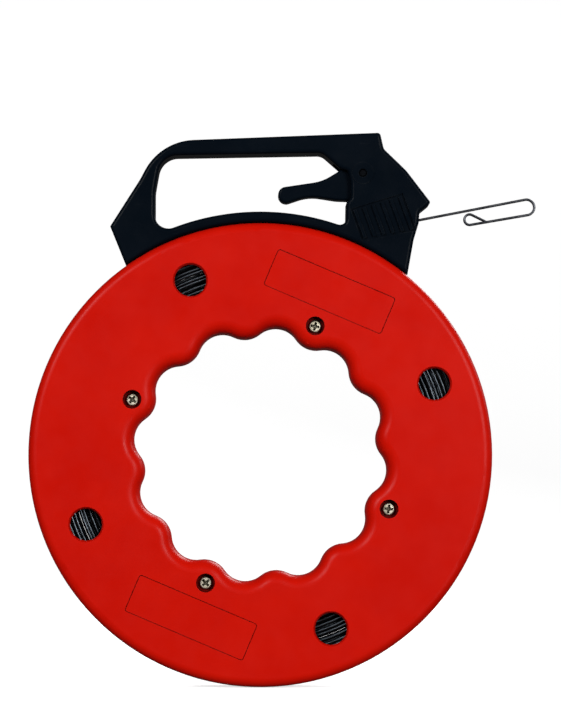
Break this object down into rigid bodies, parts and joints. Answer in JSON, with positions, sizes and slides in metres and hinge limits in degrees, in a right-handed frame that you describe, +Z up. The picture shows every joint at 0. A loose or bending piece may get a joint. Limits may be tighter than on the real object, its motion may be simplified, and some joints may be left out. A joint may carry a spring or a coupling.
{
  "type": "fish tape reel",
  "caption": "Flat steel fish tape wound in a round two-piece case that turns inside a carrying handle, with a squeeze trigger that grips the tape and a closed eye on its end.",
  "frame": {"origin": "middle of the handle's grip bar, where a hand carries the tool", "axes": "+Z up from the reel towards the grip, +Y along the reel's axis towards the rear half, +X the way the tape leaves the handle"},
  "size_m": [0.3356, 0.04, 0.3654],
  "materials": {
    "red_plastic": "satin moulded polypropylene",
    "black_nylon": "semi-matte moulded nylon",
    "black_nylon_ring": "smooth nylon bearing ring",
    "black_nylon_trigger": "semi-matte moulded nylon",
    "dark_steel": "blackened steel pin",
    "hardened_steel": "ground steel",
    "brake_rubber": "moulded rubber pad",
    "spring_steel": "bright drawn wire",
    "tape_steel": "blued spring steel with bright edges",
    "dark_screw_steel": "black zinc",
    "yellow_zinc_steel": "yellow zinc"
  },
  "bodies": {
    "handle": {"handle_front_shell": "black_nylon", "handle_rear_shell": "black_nylon", "guide_ring": "black_nylon_ring", "pivot_pin": "dark_steel", "brake_anvil": "hardened_steel", "tape_exit_guide": "hardened_steel", "trigger_spring": "spring_steel", "handle_screw_1": "dark_screw_steel", "handle_screw_2": "dark_screw_steel", "handle_screw_3": "dark_screw_steel", "handle_screw_4": "dark_screw_steel", "handle_screw_5": "dark_screw_steel", "handle_screw_6": "dark_screw_steel"},
    "reel": {"reel_front_half": "red_plastic", "reel_rear_half": "red_plastic", "tape_coil": "tape_steel", "tape_inner_end": "tape_steel", "case_screw_1": "yellow_zinc_steel", "case_screw_2": "yellow_zinc_steel", "case_screw_3": "yellow_zinc_steel", "case_screw_4": "yellow_zinc_steel"},
    "trigger": {"trigger_lever": "black_nylon_trigger", "brake_shoe": "brake_rubber"},
    "tape": {"tape_leader": "tape_steel"}
  },
  "joints": [
    {"name": "reel_spin", "type": "hinge", "parent": "handle", "child": "reel", "pos_m": [0.007, 0, -0.2035], "axis": [0, 1, 0], "continuous": true},
    {"name": "trigger_squeeze", "type": "hinge", "parent": "handle", "child": "trigger", "pos_m": [0.0747, 0, -0.0175], "axis": [0, 1, 0], "range_deg": [0, 12], "stiffness_Nm_per_rad": 0.6, "springref_deg": -6.88, "deforming": ["trigger_spring"]},
    {"name": "tape_feed", "type": "slide", "parent": "handle", "child": "tape", "axis": [0.9816, 0, 0.1908], "range_m": [-0.028, 0.1]}
  ]
}
